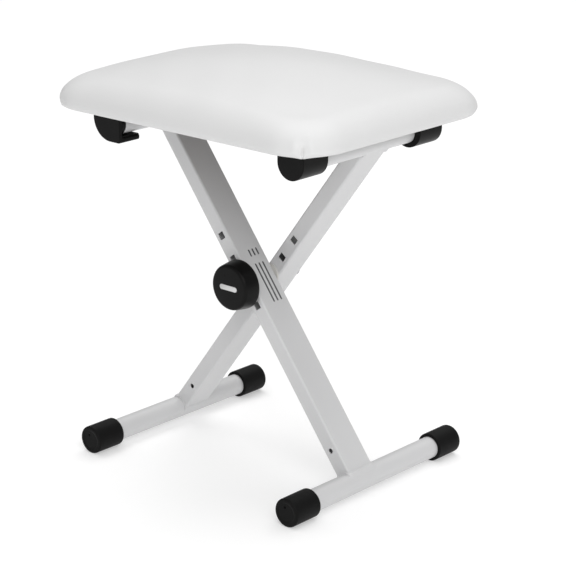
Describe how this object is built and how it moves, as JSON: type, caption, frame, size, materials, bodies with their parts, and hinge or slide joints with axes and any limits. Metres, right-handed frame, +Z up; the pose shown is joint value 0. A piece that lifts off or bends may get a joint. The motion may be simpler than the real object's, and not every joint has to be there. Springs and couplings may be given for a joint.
{
  "type": "folding piano bench",
  "caption": "Padded rectangular seat on a folding X-shaped tube frame, with a side clamp knob, height holes in the legs and round rubber feet.",
  "frame": {"origin": "on the floor, midway between the four feet and under the pivot, with the legs open; the middle of the seat is 4 mm from it towards -X", "axes": "+Z up; X along the long side of the seat, the way the legs open; Y along the foot tubes; the clamp knob is on the -Y side"},
  "size_m": [0.4034, 0.3154, 0.4741],
  "materials": {
    "painted_tube": "satin powder coat",
    "painted_weld": "satin powder coat",
    "cap_rubber": "moulded, matt",
    "plug_plastic": "moulded",
    "clip_plastic": "moulded, slightly glossy",
    "seat_vinyl": "soft vinyl, fine grain",
    "seat_foam": "open cell foam",
    "plywood": "dark stained board",
    "staple_wire": "galvanised wire",
    "zinc_steel": "zinc plated",
    "spacer_nylon": "natural nylon",
    "knob_plastic": "moulded, satin",
    "insert_brass": "turned",
    "badge_plastic": "plain"
  },
  "bodies": {
    "front_leg": {"front_leg_tube": "painted_tube", "front_foot_tube": "painted_tube", "front_top_tube": "painted_tube", "front_foot_weld": "painted_weld", "front_top_weld": "painted_weld", "foot_cap_right_front": "cap_rubber", "foot_cap_right_rear": "cap_rubber", "top_plug_left_front": "plug_plastic", "top_plug_left_rear": "plug_plastic"},
    "rear_leg": {"rear_leg_tube": "painted_tube", "rear_foot_tube": "painted_tube", "rear_top_tube": "painted_tube", "rear_foot_weld": "painted_weld", "rear_top_weld": "painted_weld", "foot_cap_left_front": "cap_rubber", "foot_cap_left_rear": "cap_rubber", "top_plug_right_front": "plug_plastic", "top_plug_right_rear": "plug_plastic", "pivot_bolt": "zinc_steel", "leg_spacer": "spacer_nylon"},
    "seat": {"seat_board": "plywood", "seat_foam": "seat_foam", "seat_cover": "seat_vinyl", "cover_staples": "staple_wire", "clip_screws": "zinc_steel", "tube_hook_left_front": "clip_plastic", "tube_hook_left_rear": "clip_plastic", "hinge_barrel_right_front": "clip_plastic", "hinge_barrel_right_rear": "clip_plastic"},
    "knob": {"knob_body": "knob_plastic", "knob_insert": "insert_brass", "knob_badge": "badge_plastic", "knob_washer": "zinc_steel"}
  },
  "joints": [
    {"name": "leg_fold", "type": "hinge", "parent": "front_leg", "child": "rear_leg", "pos_m": [0, 0, 0.21999], "axis": [0, -1, 0], "range_deg": [0, 66]},
    {"name": "seat_tilt", "type": "hinge", "parent": "rear_leg", "child": "seat", "pos_m": [0.133, 0, 0.39517], "axis": [0, 1, 0], "range_deg": [0, 33]},
    {"name": "knob_turn", "type": "hinge", "parent": "rear_leg", "child": "knob", "pos_m": [0, 0, 0.21999], "axis": [0, 1, 0], "continuous": true}
  ],
  "couplings": [
    {"joint": "seat_tilt", "follows": "leg_fold", "ratio": 0.5}
  ]
}
